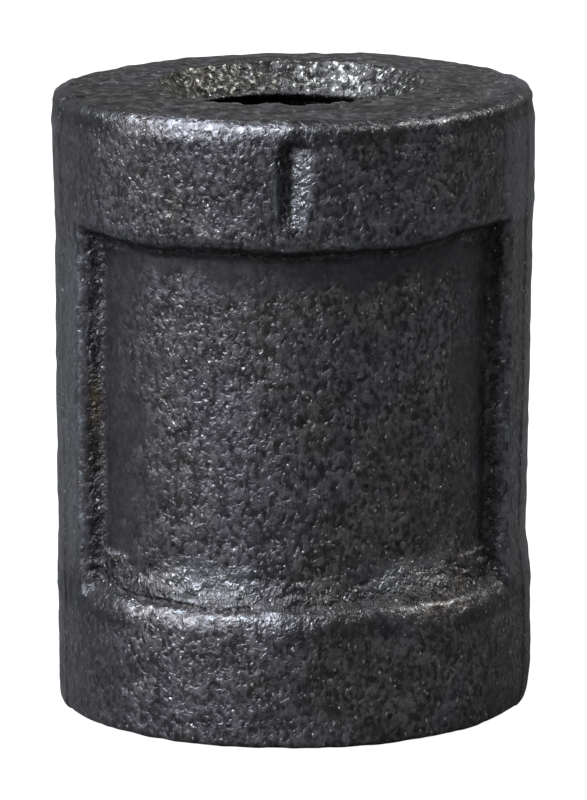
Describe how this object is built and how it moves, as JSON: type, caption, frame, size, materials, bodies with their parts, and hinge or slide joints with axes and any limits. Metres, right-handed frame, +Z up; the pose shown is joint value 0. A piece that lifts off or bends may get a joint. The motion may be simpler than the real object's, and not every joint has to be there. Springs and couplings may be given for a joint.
{
  "type": "reducing pipe coupling",
  "caption": "Banded cylindrical malleable-iron reducing coupling with tapered female pipe threads of two sizes, joining a larger pipe to a smaller one.",
  "frame": {"origin": "centre of the lower end face, the face around the larger thread's mouth, on the bore axis", "axes": "+Z up the bore axis from the larger thread to the smaller one; +X and -X through the two ribs on the parting line; -Y out of the front window, below the slot in the upper band"},
  "size_m": [0.0196, 0.0194, 0.0254],
  "materials": {
    "black_iron": "as-cast black oxide over a rough sand-cast grain, with worn glints on the edges and cut metal in the threads"
  },
  "bodies": {
    "root": {"coupling_casting": "black_iron"}
  },
  "joints": []
}
